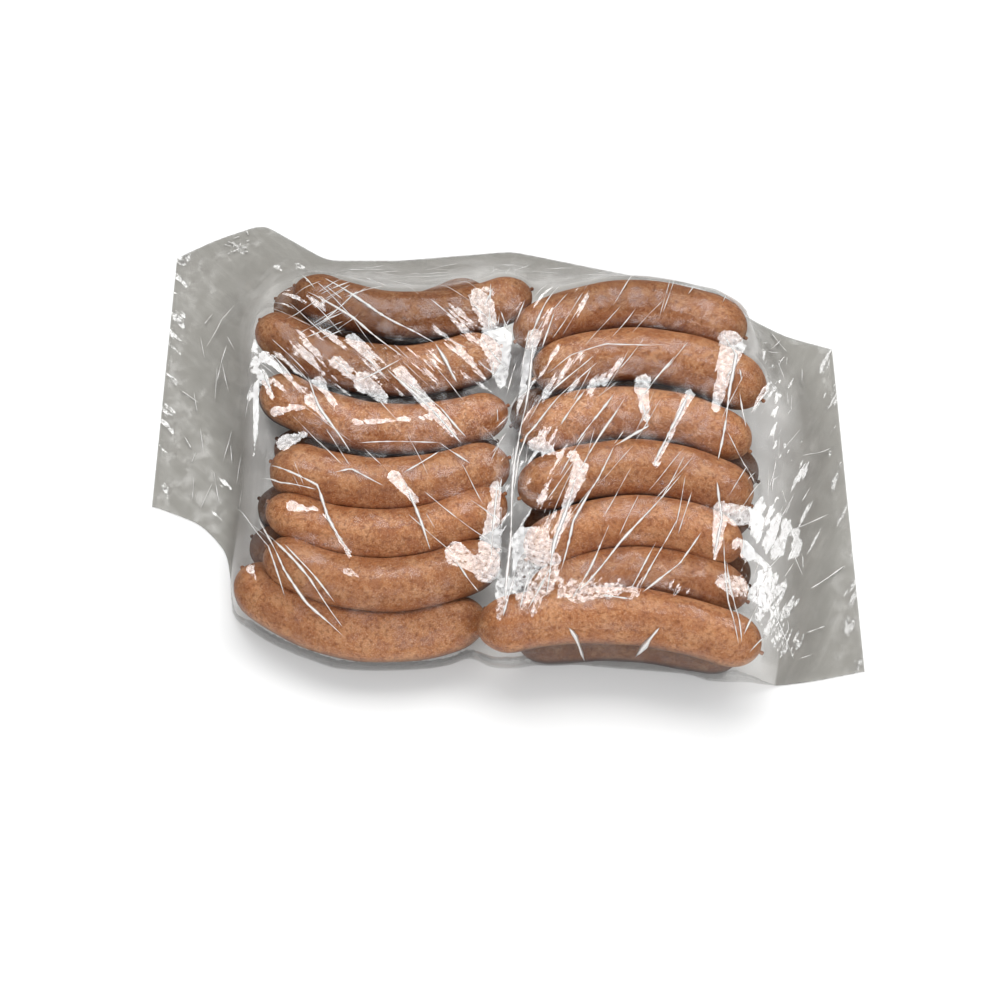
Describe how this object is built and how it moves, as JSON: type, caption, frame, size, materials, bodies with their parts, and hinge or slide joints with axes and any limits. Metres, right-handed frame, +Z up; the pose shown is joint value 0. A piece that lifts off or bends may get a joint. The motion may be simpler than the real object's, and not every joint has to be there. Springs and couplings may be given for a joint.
{
  "type": "bag of sausage links",
  "caption": "Clear film bag packed with smoked sausage links in two columns, lying flat, with a loose wavy skirt of film and a heat seal at each end.",
  "frame": {"origin": "on the table under the middle of the bag's box, on the flat face it rests on", "axes": "+X along the bag from the left seal to the right one, +Y to the far side, +Z up"},
  "size_m": [0.426, 0.3142, 0.0616],
  "materials": {
    "smoked_link": "satin, mottled coarse-ground meat under a shiny smoked casing",
    "clear_film": "clear thin polyethylene, creased and glossy"
  },
  "bodies": {
    "root": {"bag": "smoked_link"}
  },
  "joints": []
}
